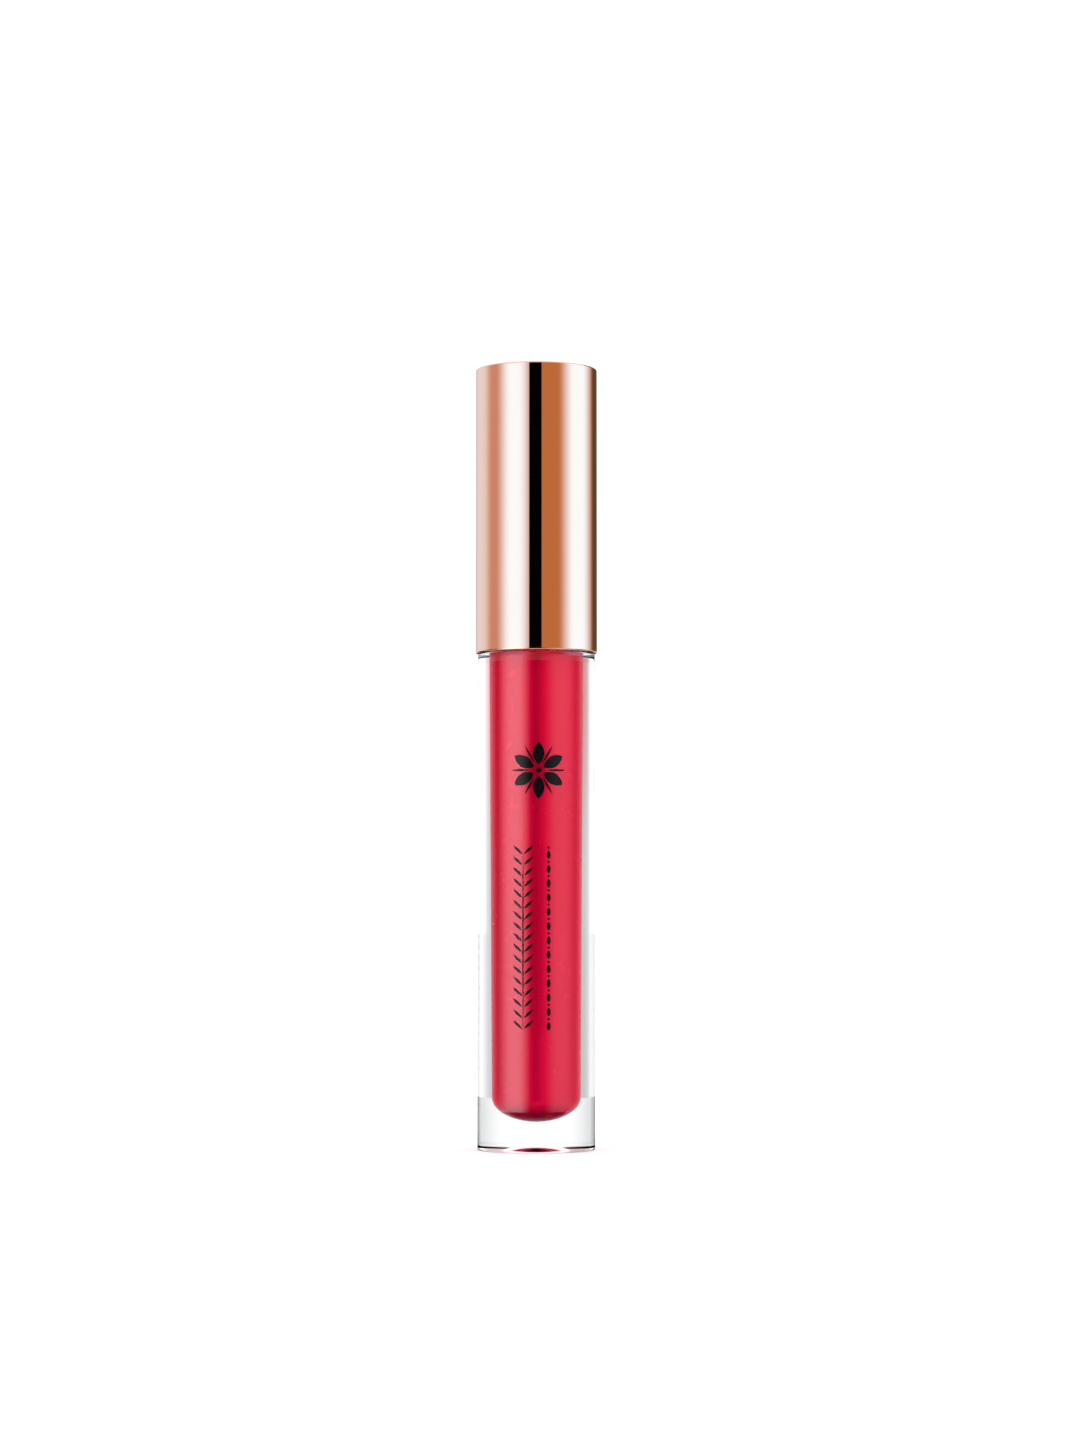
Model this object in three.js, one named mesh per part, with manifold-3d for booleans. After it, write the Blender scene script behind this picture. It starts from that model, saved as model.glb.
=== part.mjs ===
// A lip gloss tube: a thick-walled clear bottle holding the gloss, a press-in wiper, and a
// metallised screw cap that carries the wand with its flocked doe-foot tip.
// Millimetres, +Z up. The origin is the centre of the base, on the surface the tube stands on.

import * as THREE from "three";
import { mergeVertices } from "three/addons/utils/BufferGeometryUtils.js";
import Module from "manifold-3d";

// ---------------------------------------------------------------- driving dimensions

// Bottle
const cavityDiameter = 9.35; // the bore at the neck
const cavityDraft = 0.55; // how much narrower it is at the floor, so that its core pin draws out
const cavityDomeHeight = 3.5; // the cavity ends in half an ellipsoid this deep
const bottleWall = 4.225; // clear plastic round the wide end of the cavity
const floorThickness = 4.4; // clear plastic under the cavity
const bottleHeight = 75.1; // base to shoulder
const baseEdgeRadius = 0.3;
const shoulderEdgeRadius = 0.25;
const gateDimpleDiameter = 7.0; // moulding gate, sunk so that it can't rock the bottle
const gateDimpleDepth = 0.95;

// Neck and its right-hand thread
const neckWall = 1.075;
const neckHeight = 11.6;
const neckRimRadius = 0.3;
const threadPitch = 2.117; // twelve turns to the inch
const threadTurns = 1.5;
const threadDepth = 0.7;
const threadRootWidth = 1.1;
const threadCrestWidth = 0.5;
const threadTopBelowRim = 2.4; // rim to the middle of the thread's upper end
const threadRunOut = 30; // degrees over which each end of a thread fades
const threadClearance = 0.25; // radial, crest to root

// Wiper
const wiperWall = 0.7;
const wiperLength = 11.0; // below its flange
const wiperFlangeThickness = 0.6;
const wiperFlangeOverhang = 0.6; // beyond the bore, resting on the rim
const wiperConeHeight = 3.2;
const wiperClearance = 0.2; // round the widest thing that is drawn through it
const wiperFit = 0.12; // between the wiper and the bore

// Sealing washer and cap
const washerThickness = 0.8;
const washerInset = 0.35; // washer rim to the inner cap's bore
const innerCapWall = 1.15;
const innerCapWebThickness = 1.4; // the floor that the stem's head rests on
const innerCapRecess = 0.6; // its rim sits this far inside the shell's mouth
const ribCount = 12;
const ribDepth = 0.35;
const ribStart = 1.0; // above the inner cap's mouth
const ribWidth = 0.9;
const ribGap = 0.1; // rib to shell
const capWall = 0.95;
const capLength = 43.5;
const capTopThickness = 1.2;
const capEdgeRadius = 0.3;
const capMouthRadius = 0.15;
const shoulderGap = 0.15; // cap's mouth to the bottle's shoulder
const weightThickness = 6.0;
const weightEdgeRadius = 0.4;

// Wand
const stemDiameter = 3.5;
const stemHeadOverhang = 1.4;
const stemHeadThickness = 1.5;
const bossWall = 1.0; // tube on the web that holds the stem's head
const bossHeight = 5.0;
const tipDiameter = 3.8; // over the flocking
const tipLength = 14.0;
const flockThickness = 0.5;
const tipShoulderLength = 2.6; // tapered stretch at the tip's top
const tipShoulderTaper = 0.25;
const footLength = 9.5; // length of the doe-foot's slanted face
const footCut = 2.4; // how deep that face cuts at the very end
const pegDiameter = 1.8;
const pegLength = 4.5;
const tipFloorClearance = 3.6; // tip to the bottom of the cavity
const channelClearance = 0.5; // gloss kept clear of the tip as it is drawn out

// Gloss
const glossBelowWiper = 0.4; // level of the gloss under the wiper's lower end
const glossGap = 0.06; // between the gloss and the bottle

const fitGap = 0.15; // between parts that are pressed or snapped together
const faceGap = 0.1; // between parts that rest on each other
const glueGap = 0.1; // glue line under the flocking

// Facets round a full turn, and along an arc
const wideSides = 48;
const slimSides = 32;
const arcSteps = 4;

// ---------------------------------------------------------------- derived sizes

const cavityRadius = cavityDiameter / 2;
const cavityFloorRadius = cavityRadius - cavityDraft / 2;
const cavityDomeZ = floorThickness + cavityDomeHeight;
const bottleRadius = cavityRadius + bottleWall;
const neckRadius = cavityRadius + neckWall;
const rimZ = bottleHeight + neckHeight;

const innerCapBore = neckRadius + threadDepth + threadClearance;
const innerCapRadius = innerCapBore + innerCapWall;
const ribRadius = innerCapRadius + ribDepth;
const shellBore = ribRadius + ribGap;
const shellRadius = shellBore + capWall;

const stemRadius = stemDiameter / 2;
const stemHeadRadius = stemRadius + stemHeadOverhang;
const tipRadius = tipDiameter / 2;
const wiperOrifice = Math.max(stemRadius, tipRadius) + wiperClearance;

const shellMouthZ = bottleHeight + shoulderGap;
const innerCapMouthZ = shellMouthZ + innerCapRecess;
const wiperFlangeZ = rimZ + faceGap;
const washerZ = wiperFlangeZ + wiperFlangeThickness + faceGap;
const webZ = washerZ + washerThickness + faceGap;
const stemHeadZ = webZ + innerCapWebThickness + faceGap;
const weightZ = shellMouthZ + capLength - capTopThickness - faceGap - weightThickness;
const tipEndZ = floorThickness + tipFloorClearance;
const tipTopZ = tipEndZ + tipLength;
const stemEndZ = tipTopZ + faceGap;

// ---------------------------------------------------------------- shapes

const wasm = await Module();
wasm.setup();

/** Points of an elliptical arc round (centreR, centreZ), from one angle to another in degrees. */
function arc(centreR, centreZ, radiusR, radiusZ, from, to, steps = arcSteps) {
  const points = [];
  for (let i = 0; i <= steps; i++) {
    const angle = THREE.MathUtils.degToRad(from + ((to - from) * i) / steps);
    points.push([centreR + radiusR * Math.cos(angle), centreZ + radiusZ * Math.sin(angle)]);
  }
  return points;
}

/** The bore's radius at a height: it widens evenly up to the shoulder, and the neck is straight. */
function boreRadius(z) {
  const share = THREE.MathUtils.clamp((z - cavityDomeZ) / (bottleHeight - cavityDomeZ), 0, 1);
  return cavityFloorRadius + (cavityDraft / 2) * share;
}

/** A closed body of revolution about Z. The outline's [r, z] points run anticlockwise. */
function turned(outline, sides = wideSides, closesOnItself = false) {
  const points = outline.map(([r, z]) => new THREE.Vector2(r, z));
  if (closesOnItself) points.push(points[0].clone());
  return new THREE.LatheGeometry(points, sides).rotateX(Math.PI / 2);
}

/** A ring whose outline never meets the axis. */
function ring(outline, sides = wideSides) {
  return turned(outline, sides, true);
}

/** A three.js geometry as a solid that can be joined and cut. */
function solidOf(geometry) {
  const bare = geometry.clone();
  bare.deleteAttribute("normal");
  bare.deleteAttribute("uv");
  const merged = mergeVertices(bare.index ? bare.toNonIndexed() : bare, 1e-4);
  return new wasm.Manifold(
    new wasm.Mesh({
      numProp: 3,
      vertProperties: new Float32Array(merged.attributes.position.array),
      triVerts: new Uint32Array(merged.index.array),
    }),
  );
}

/** A solid as a three.js geometry. */
function geometryOf(solid) {
  const { vertProperties, triVerts } = solid.getMesh();
  const geometry = new THREE.BufferGeometry();
  geometry.setAttribute("position", new THREE.BufferAttribute(new Float32Array(vertProperties), 3));
  geometry.setIndex(new THREE.BufferAttribute(new Uint32Array(triVerts), 1));
  return geometry;
}

/**
 * A thread ridge: a straight bar of the thread's section, wound into a right-hand helix.
 * outwards is 1 for a bolt's thread and -1 for a nut's. rootRadius is the wall that it grows from.
 */
function threadRidge(rootRadius, outwards, lowZ) {
  const buried = threadClearance / 2; // into the wall, so that the two join
  const section = new THREE.Shape([
    new THREE.Vector2(-buried, -threadRootWidth / 2),
    new THREE.Vector2(threadDepth, -threadCrestWidth / 2),
    new THREE.Vector2(threadDepth, threadCrestWidth / 2),
    new THREE.Vector2(-buried, threadRootWidth / 2),
  ]);
  const steps = Math.round(threadTurns * wideSides);
  const bar = new THREE.ExtrudeGeometry(section, { depth: threadTurns, steps, bevelEnabled: false });
  const fade = threadRunOut / 360;
  const halfFacet = Math.PI / wideSides; // keeps the ridge's corners off the wall's corners
  const place = bar.attributes.position;
  for (let i = 0; i < place.count; i++) {
    const turn = place.getZ(i);
    const fromEnd = Math.min(turn, threadTurns - turn);
    const height = THREE.MathUtils.clamp(fromEnd / fade, 0.1, 1);
    const out = place.getX(i);
    const radius = rootRadius + outwards * (out > 0 ? out * height : out);
    const angle = 2 * Math.PI * turn + halfFacet;
    const z = lowZ + threadPitch * turn - outwards * place.getY(i);
    place.setXYZ(i, radius * Math.cos(angle), radius * Math.sin(angle), z);
  }
  return solidOf(bar);
}

/**
 * The doe-foot: a round-ended bar with one slanted face, inset by `inset` on every side, its
 * shoulder at z = 0. The last points of its outline, from the shoulder to the axis, are `top`.
 */
function doeFoot(inset, top) {
  const radius = tipRadius - inset;
  const bar = turned(
    [
      ...arc(0, tipRadius - tipLength, radius, radius, -90, 0, 2 * arcSteps),
      [radius, -tipShoulderLength],
      [radius - tipShoulderTaper, 0],
      ...top,
    ],
    slimSides,
  );
  // The slanted face starts at the bar's side, footLength above the end, and leans inwards.
  // Half a facet's turn keeps it off the bar's corners.
  const lean = Math.atan(footCut / footLength);
  const block = new THREE.BoxGeometry(tipLength, tipLength, 4 * tipLength)
    .translate(tipLength / 2 - inset, 0, 0)
    .rotateY(lean)
    .translate(tipRadius, 0, footLength - tipLength);
  return solidOf(bar.rotateZ(Math.PI / slimSides)).subtract(solidOf(block));
}

// ---------------------------------------------------------------- bottle, gloss and wiper

function bottleSolid() {
  // The dimple is a cap cut from a ball.
  const dimpleRadius = gateDimpleDiameter / 2;
  const ballRadius = (dimpleRadius ** 2 + gateDimpleDepth ** 2) / (2 * gateDimpleDepth);
  const rimAngle = THREE.MathUtils.radToDeg(Math.acos(dimpleRadius / ballRadius));
  const body = turned([
    ...arc(0, gateDimpleDepth - ballRadius, ballRadius, ballRadius, 90, rimAngle),
    ...arc(bottleRadius - baseEdgeRadius, baseEdgeRadius, baseEdgeRadius, baseEdgeRadius, -90, 0),
    ...arc(
      bottleRadius - shoulderEdgeRadius,
      bottleHeight - shoulderEdgeRadius,
      shoulderEdgeRadius,
      shoulderEdgeRadius,
      0,
      90,
    ),
    [neckRadius, bottleHeight],
    ...arc(neckRadius - neckRimRadius, rimZ - neckRimRadius, neckRimRadius, neckRimRadius, 0, 90, 2),
    ...arc(cavityRadius + neckRimRadius, rimZ - neckRimRadius, neckRimRadius, neckRimRadius, 90, 180, 2),
    [cavityRadius, bottleHeight],
    ...arc(0, cavityDomeZ, cavityFloorRadius, cavityDomeHeight, 0, -90, 2 * arcSteps),
  ]);
  const threadLowZ = rimZ - threadTopBelowRim - threadTurns * threadPitch;
  return solidOf(body).add(threadRidge(neckRadius, 1, threadLowZ));
}

function glossFill() {
  const radius = cavityFloorRadius - glossGap;
  const channel = tipRadius + channelClearance;
  const topZ = wiperFlangeZ - wiperLength - glossBelowWiper;
  const channelZ = tipEndZ - channelClearance + channel;
  return turned(
    [
      ...arc(0, cavityDomeZ, radius, cavityDomeHeight - glossGap, -90, 0, 2 * arcSteps),
      [boreRadius(topZ) - glossGap, topZ],
      [channel, topZ],
      ...arc(0, channelZ, channel, channel, 0, -90),
    ],
    slimSides,
  );
}

/** The wiper, with the underside of its flange at z = 0. */
function wiper() {
  const outer = cavityRadius - wiperFit;
  const inner = outer - wiperWall;
  const flange = cavityRadius + wiperFlangeOverhang;
  const coneZ = -wiperLength + wiperConeHeight;
  return ring(
    [
      [wiperOrifice, -wiperLength],
      [wiperOrifice + wiperWall, -wiperLength],
      [outer, coneZ],
      [outer, 0],
      [flange, 0],
      [flange, wiperFlangeThickness],
      [inner + wiperWall / 2, wiperFlangeThickness],
      [inner, wiperFlangeThickness - wiperWall / 2],
      [inner, coneZ + wiperWall / 2],
      [wiperOrifice, -wiperLength + wiperWall],
    ],
    slimSides,
  );
}

// ---------------------------------------------------------------- cap

/** The sealing washer, its underside at z = 0. */
function sealingWasher() {
  const inner = Math.max(stemRadius, tipRadius) + wiperClearance;
  const outer = innerCapBore - washerInset;
  return ring(
    [
      [inner, 0],
      [outer, 0],
      [outer, washerThickness],
      [inner, washerThickness],
    ],
    slimSides,
  );
}

/** The outer shell, its mouth at z = 0. */
function capShell() {
  const roofZ = capLength - capTopThickness;
  return turned([
    [0, roofZ],
    [shellBore, roofZ],
    ...arc(shellBore + capMouthRadius, capMouthRadius, capMouthRadius, capMouthRadius, 180, 270, 2),
    ...arc(shellRadius - capMouthRadius, capMouthRadius, capMouthRadius, capMouthRadius, 270, 360, 2),
    ...arc(shellRadius - capEdgeRadius, capLength - capEdgeRadius, capEdgeRadius, capEdgeRadius, 0, 90),
    [0, capLength],
  ]);
}

/** The inner cap, its mouth at z = 0: thread below the web, stem boss and sleeve above it. */
function innerCap() {
  const web = webZ - innerCapMouthZ;
  const webTop = web + innerCapWebThickness;
  const top = weightZ - faceGap - innerCapMouthZ;
  const stemHole = stemRadius + fitGap;
  const bossBore = stemHeadRadius + fitGap;
  const bossRadius = bossBore + bossWall;
  const body = ring([
    [innerCapBore, 0],
    [innerCapRadius, 0],
    [innerCapRadius, top],
    [innerCapBore, top],
    [innerCapBore, webTop],
    [bossRadius, webTop],
    [bossRadius, webTop + bossHeight],
    [bossBore, webTop + bossHeight],
    [bossBore, webTop],
    [stemHole, webTop],
    [stemHole, web],
    [innerCapBore, web],
  ]);
  const neckThreadZ = rimZ - threadTopBelowRim - threadTurns * threadPitch;
  const lowZ = neckThreadZ - threadPitch / 2 - innerCapMouthZ; // between the neck's turns
  let solid = solidOf(body).add(threadRidge(innerCapBore, -1, lowZ));
  const reach = innerCapWall / 2 + ribDepth;
  for (let i = 0; i < ribCount; i++) {
    const rib = new THREE.BoxGeometry(reach, ribWidth, top - ribStart)
      .translate(ribRadius - reach / 2, 0, (top + ribStart) / 2)
      .rotateZ((2 * Math.PI * i) / ribCount);
    solid = solid.add(solidOf(rib));
  }
  return solid;
}

/** The steel weight, its underside at z = 0. */
function capWeight() {
  const radius = innerCapRadius;
  const edge = weightEdgeRadius;
  return turned(
    [
      [0, 0],
      ...arc(radius - edge, edge, edge, edge, -90, 0, 2),
      ...arc(radius - edge, weightThickness - edge, edge, edge, 0, 90, 2),
      [0, weightThickness],
    ],
    slimSides,
  );
}

// ---------------------------------------------------------------- wand

/** The stem, with the underside of its head at z = 0. */
function stem() {
  const endZ = stemEndZ - stemHeadZ;
  const socket = pegDiameter / 2 + fitGap;
  const socketTop = endZ + pegLength + fitGap;
  return turned(
    [
      [0, socketTop],
      [socket, socketTop],
      [socket, endZ],
      [stemRadius, endZ],
      [stemRadius, 0],
      [stemHeadRadius, 0],
      [stemHeadRadius, stemHeadThickness],
      [0, stemHeadThickness],
    ],
    slimSides,
  );
}

/** The tip's core, with its shoulder at z = 0 and its peg above that. */
function tipCore() {
  const pegRadius = pegDiameter / 2;
  return doeFoot(flockThickness + glueGap, [
    [pegRadius, 0],
    [pegRadius, pegLength],
    [0, pegLength],
  ]);
}

/** The flocking: a skin over the core, open at the shoulder. */
function tipFlock() {
  const mouth = tipRadius - flockThickness - tipShoulderTaper;
  const outer = doeFoot(0, [[0, 0]]);
  const hollow = doeFoot(flockThickness, [
    [mouth, tipShoulderLength],
    [0, tipShoulderLength],
  ]);
  return outer.subtract(hollow);
}

// ---------------------------------------------------------------- materials and assembly

const clearPlastic = new THREE.MeshStandardMaterial({
  color: 0xf4f6f6,
  roughness: 0.03,
  metalness: 0,
  transparent: true,
  opacity: 0.3,
});
const gloss = new THREE.MeshStandardMaterial({ color: 0xd4103f, roughness: 0.2, metalness: 0 });
const naturalPlastic = new THREE.MeshStandardMaterial({ color: 0xeeeeea, roughness: 0.4, metalness: 0 });
const foam = new THREE.MeshStandardMaterial({ color: 0xf6f6f4, roughness: 0.8, metalness: 0 });
const roseGold = new THREE.MeshStandardMaterial({ color: 0xd9946e, roughness: 0.08, metalness: 1 });
const steel = new THREE.MeshStandardMaterial({ color: 0xa8a9ab, roughness: 0.35, metalness: 1 });
const flock = new THREE.MeshStandardMaterial({ color: 0xe05070, roughness: 0.95, metalness: 0 });

/** A named mesh, lifted to its height in the assembly. */
function piece(name, shape, material, z = 0) {
  const mesh = new THREE.Mesh(shape.isBufferGeometry ? shape : geometryOf(shape), material);
  mesh.name = name;
  mesh.position.z = z;
  return mesh;
}

const bottleGroup = new THREE.Group();
bottleGroup.add(
  piece("bottle", bottleSolid(), clearPlastic),
  piece("gloss_fill", glossFill(), gloss),
  piece("wiper", wiper(), naturalPlastic, wiperFlangeZ),
);

const capGroup = new THREE.Group();
capGroup.add(
  piece("sealing_washer", sealingWasher(), foam, washerZ),
  piece("cap_weight", capWeight(), steel, weightZ),
  piece("cap_shell", capShell(), roseGold, shellMouthZ),
  piece("inner_cap", innerCap(), naturalPlastic, innerCapMouthZ),
  piece("stem", stem(), naturalPlastic, stemHeadZ),
  piece("tip_core", tipCore(), naturalPlastic, tipTopZ),
  piece("tip_flock", tipFlock(), flock, tipTopZ),
);

const tube = new THREE.Group();
tube.name = "lip_gloss_tube";
tube.add(bottleGroup, capGroup);

export default tube;
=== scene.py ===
import math

import bmesh
import bpy
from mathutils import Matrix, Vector


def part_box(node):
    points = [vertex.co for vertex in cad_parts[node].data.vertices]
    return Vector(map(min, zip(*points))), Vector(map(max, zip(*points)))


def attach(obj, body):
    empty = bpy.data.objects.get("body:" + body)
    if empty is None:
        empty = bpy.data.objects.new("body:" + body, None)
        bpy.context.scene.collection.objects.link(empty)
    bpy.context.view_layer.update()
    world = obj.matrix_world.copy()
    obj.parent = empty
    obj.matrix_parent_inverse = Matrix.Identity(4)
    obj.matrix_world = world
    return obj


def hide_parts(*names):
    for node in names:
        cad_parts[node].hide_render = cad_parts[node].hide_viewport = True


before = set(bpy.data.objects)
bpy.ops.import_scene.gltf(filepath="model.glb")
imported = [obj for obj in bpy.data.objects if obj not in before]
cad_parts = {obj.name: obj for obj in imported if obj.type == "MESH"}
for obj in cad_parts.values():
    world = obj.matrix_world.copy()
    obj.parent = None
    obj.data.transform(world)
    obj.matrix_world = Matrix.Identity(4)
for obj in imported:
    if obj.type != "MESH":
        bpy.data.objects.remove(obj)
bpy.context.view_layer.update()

# ---- Bottle -------------------------------------------------------------------------------
# A one-piece, thick-walled tube, injection moulded in clear polyester with a heavy solid base,
# polished all over. The gate leaves a dimple under the base, and the screw neck stands inside
# the cap.

mm = 0.001
bottle_low, bottle_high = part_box("bottle")
bottle_radius = bottle_high.x
neck_height = 11.6 * mm
shoulder_z = bottle_high.z - neck_height
floor_thickness = 4.4 * mm
cavity_radius = 4.675 * mm
cavity_floor_radius = 4.4 * mm
cavity_dome = 3.5 * mm
cavity_dome_z = floor_thickness + cavity_dome
dimple_radius = 3.5 * mm
dimple_depth = 0.95 * mm
neck_radius = 5.75 * mm
thread_pitch = 2.117 * mm
thread_turns = 1.5
thread_depth = 0.7 * mm
thread_below_rim = 2.4 * mm
foot = 0.25 * mm
shoulder = 0.22 * mm
neck_root = 0.2 * mm
rim_edge = 0.3 * mm
guard = 0.06 * mm


class Wire:
    """A node's output used in Python sums: each operator adds a Math node to its tree."""

    def __init__(self, tree, socket=None):
        self.tree = tree
        self.socket = socket

    def node(self, kind, settings=None, sockets=None, out=0):
        """Adds a node, its settings first, then the values or links of its sockets."""
        made = self.tree.nodes.new(kind)
        for name, value in (settings or {}).items():
            if name == "stops":
                ramp = made.color_ramp
                while len(ramp.elements) < len(value):
                    ramp.elements.new(0.5)
                for element, (place, colour) in zip(ramp.elements, value):
                    element.position = place
                    element.color = (*colour, 1)
            else:
                setattr(made, name, value)
        for name, value in (sockets or {}).items():
            for part in value if isinstance(value, list) else [value]:
                if isinstance(part, Wire):
                    self.tree.links.new(part.socket, made.inputs[name])
                else:
                    made.inputs[name].default_value = part
        return Wire(self.tree, made.outputs[out] if made.outputs else None)

    def also(self, out):
        """Another output of the same node."""
        return Wire(self.tree, self.socket.node.outputs[out])

    def math(self, operation, *values):
        sockets = dict(enumerate((self, *values)))
        return self.node("ShaderNodeMath", {"operation": operation}, sockets)

    def __add__(self, other):
        return self.math("ADD", other)

    def __radd__(self, other):
        return self.math("ADD", other)

    def __sub__(self, other):
        return self.math("SUBTRACT", other)

    def __rsub__(self, other):
        return (self * -1) + other

    def __mul__(self, other):
        return self.math("MULTIPLY", other)

    def __rmul__(self, other):
        return self.math("MULTIPLY", other)

    def __truediv__(self, other):
        return self.math("DIVIDE", other)

    def ease(self, start, stop):
        """0 below start, 1 above stop, and a smooth step between them."""
        ends = {"From Min": start, "From Max": stop, "Value": self}
        return self.node("ShaderNodeMapRange", {"interpolation_type": "SMOOTHSTEP"}, ends)

    def mix(self, first, second):
        """A colour that goes from first to second as this value goes from 0 to 1."""
        colours = {"Factor": self, 6: first, 7: second}
        return self.node("ShaderNodeMix", {"data_type": "RGBA"}, colours, 2)

    def noise(self, scale, detail=2.0, stretch=(1, 1, 1)):
        """Smooth noise over this position, `scale` lumps to the metre, 0.5 on average."""
        spread = {"Vector": self, "Scale": stretch}
        place = self.node("ShaderNodeMapping", {}, spread)
        sockets = {"Vector": place, "Scale": scale, "Detail": detail}
        return self.node("ShaderNodeTexNoise", {}, sockets)


def finish(name, surface):
    """A material. `surface` is given the object position and returns the shader."""
    made = bpy.data.materials.new(name)
    made.use_nodes = True
    made.node_tree.nodes.clear()
    start = Wire(made.node_tree)
    place = start.node("ShaderNodeTexCoord", out="Object")
    start.node("ShaderNodeOutputMaterial", {}, {"Surface": surface(place)})
    return made


def principled(place, height=None, bump=0.0, **looks):
    """A Principled shader. A height field, where one is given, bumps it by `bump` metres."""
    sockets = {name.replace("_", " "): value for name, value in looks.items()}
    if height is not None:
        sockets["Normal"] = place.node("ShaderNodeBump", {}, {"Height": height, "Distance": bump})
    return place.node("ShaderNodeBsdfPrincipled", {}, sockets)


def arc(centre_r, centre_z, radius_r, radius_z, start, stop, steps=8):
    """Points (r, z) of an elliptical arc, its angles in degrees."""
    angles = [math.radians(start + (stop - start) * i / steps) for i in range(steps + 1)]
    return [
        (centre_r + radius_r * math.cos(angle), centre_z + radius_z * math.sin(angle))
        for angle in angles
    ]


def round_edge(centre_r, centre_z, radius, start, stop, steps):
    """Points (r, z) of a circular arc."""
    return arc(centre_r, centre_z, radius, radius, start, stop, steps)


def straight(start, stop, steps):
    """Points (r, z) along a line, both ends left out. The first and last keep the shading of a
    rounded edge from running along the line."""
    near = guard / math.dist(start, stop)
    shares = [near, *(i / steps for i in range(1, steps)), 1 - near]
    return [tuple(a + (b - a) * share for a, b in zip(start, stop)) for share in shares]


def piece(name, verts, faces, material, crease=30):
    """A mesh object with smooth shading, and sharp edges where its faces turn by over `crease`."""
    mesh = bpy.data.meshes.new(name)
    mesh.from_pydata(verts, [], faces)
    made = bpy.data.objects.new(name, mesh)
    bpy.context.scene.collection.objects.link(made)
    mesh.materials.append(material)
    shade(made, crease)
    return made


def shade(made, crease=30):
    """Smooth shading, with sharp edges where faces turn by over `crease` degrees."""
    work = bmesh.new()
    work.from_mesh(made.data)
    for face in work.faces:
        face.smooth = True
    for edge in work.edges:
        edge.smooth = edge.calc_face_angle(0) < math.radians(crease)
    work.to_mesh(made.data)
    work.free()


def turned(name, outline, material, sides=256, loop=False, crease=30):
    """A body of revolution. Its outline of (r, z) runs anticlockwise, and starts and ends on the
    axis unless it is a loop."""
    verts, rings, faces = [], [], []
    for r, z in outline:
        count = 1 if r < 1e-7 else sides
        rings.append(range(len(verts), len(verts) + count))
        for i in range(count):
            angle = 2 * math.pi * i / sides
            verts.append((r * math.cos(angle), r * math.sin(angle), z))
    for low, high in zip(rings, rings[1:] + rings[:1] if loop else rings[1:]):
        for i in range(sides):
            j = (i + 1) % sides
            under = (low[i % len(low)], low[j % len(low)])
            over = (high[j % len(high)], high[i % len(high)])
            faces.append(tuple(dict.fromkeys(under + over)))
    return piece(name, verts, faces, material, crease)


def geometry_tree(name, sizes):
    """A Geometry Nodes tree and the wires of its inputs: a geometry, the sizes and a material."""
    tree = bpy.data.node_groups.new(name, "GeometryNodeTree")
    tree.interface.new_socket("Geometry", in_out="INPUT", socket_type="NodeSocketGeometry")
    for size in sizes:
        tree.interface.new_socket(size, in_out="INPUT", socket_type="NodeSocketFloat")
    tree.interface.new_socket("Material", in_out="INPUT", socket_type="NodeSocketMaterial")
    tree.interface.new_socket("Geometry", in_out="OUTPUT", socket_type="NodeSocketGeometry")
    source = tree.nodes.new("NodeGroupInput")
    return tree, {socket.name: Wire(tree, socket) for socket in source.outputs if socket.name}


def close_tree(given, shape):
    """Ends a tree: its instances made real, its material set."""
    real = shape.node("GeometryNodeRealizeInstances", {}, {"Geometry": shape})
    dressed = {"Geometry": real, "Material": given["Material"]}
    coated = real.node("GeometryNodeSetMaterial", {}, dressed)
    coated.node("NodeGroupOutput", {}, {"Geometry": coated})


def run_tree(made, tree, values, crease=30):
    """Runs a tree on a piece and leaves the result as the piece's own plain mesh."""
    modifier = made.modifiers.new(tree.name, "NODES")
    modifier.node_group = tree
    for item in tree.interface.items_tree:
        if item.in_out == "INPUT" and item.name in values:
            modifier[item.identifier] = values[item.name]
    graph = bpy.context.evaluated_depsgraph_get()
    result = bpy.data.meshes.new_from_object(made.evaluated_get(graph))
    made.modifiers.clear()
    made.data = result
    shade(made, crease)


# A thread: the wall's points inside the ridge's helix are moved out by its rounded section.
thread_sizes = ["Wall", "Depth", "Pitch", "Turns", "Root", "Crest", "Lowest", "Run-out"]
thread_tree, given = geometry_tree("screw_thread", thread_sizes)
place = given["Geometry"].node("GeometryNodeInputPosition")
x = place.node("ShaderNodeSeparateXYZ", {}, {"Vector": place})
y, z = x.also("Y"), x.also("Z")
radius = (x * x + y * y).math("SQRT")
part_turn = (y.math("ARCTAN2", x) / (2 * math.pi)).math("FRACT")
whole_turns = ((z - given["Lowest"]) / given["Pitch"] - part_turn).math("ROUND")
turn = whole_turns + part_turn
off_centre = (z - given["Lowest"] - given["Pitch"] * turn).math("ABSOLUTE")
flank = 1 - off_centre.ease(given["Crest"] / 2, given["Root"] / 2)
fade = turn.ease(0, given["Run-out"]) * (given["Turns"] - turn).ease(0, given["Run-out"])
height = given["Depth"] * flank * fade
on_wall = (radius - given["Wall"]).math("ABSOLUTE").math("LESS_THAN", 0.05 * mm)
outwards = x.node("ShaderNodeCombineXYZ", {}, {"X": x / radius * height, "Y": y / radius * height})
raised = {"Geometry": given["Geometry"], "Selection": on_wall, "Offset": outwards}
close_tree(given, given["Geometry"].node("GeometryNodeSetPosition", {}, raised))


def clear_plastic(place):
    flow = place.noise(60, 3, (1, 1, 0.25))
    handling = place.noise(900, 4, (1, 1, 0.3))
    return principled(
        place,
        height=flow,
        bump=0.01 * mm,
        Base_Color=(0.985, 0.99, 0.99, 1),
        Roughness=0.012 * handling,
        IOR=1.52,
        Transmission_Weight=1.0,
    )


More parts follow.
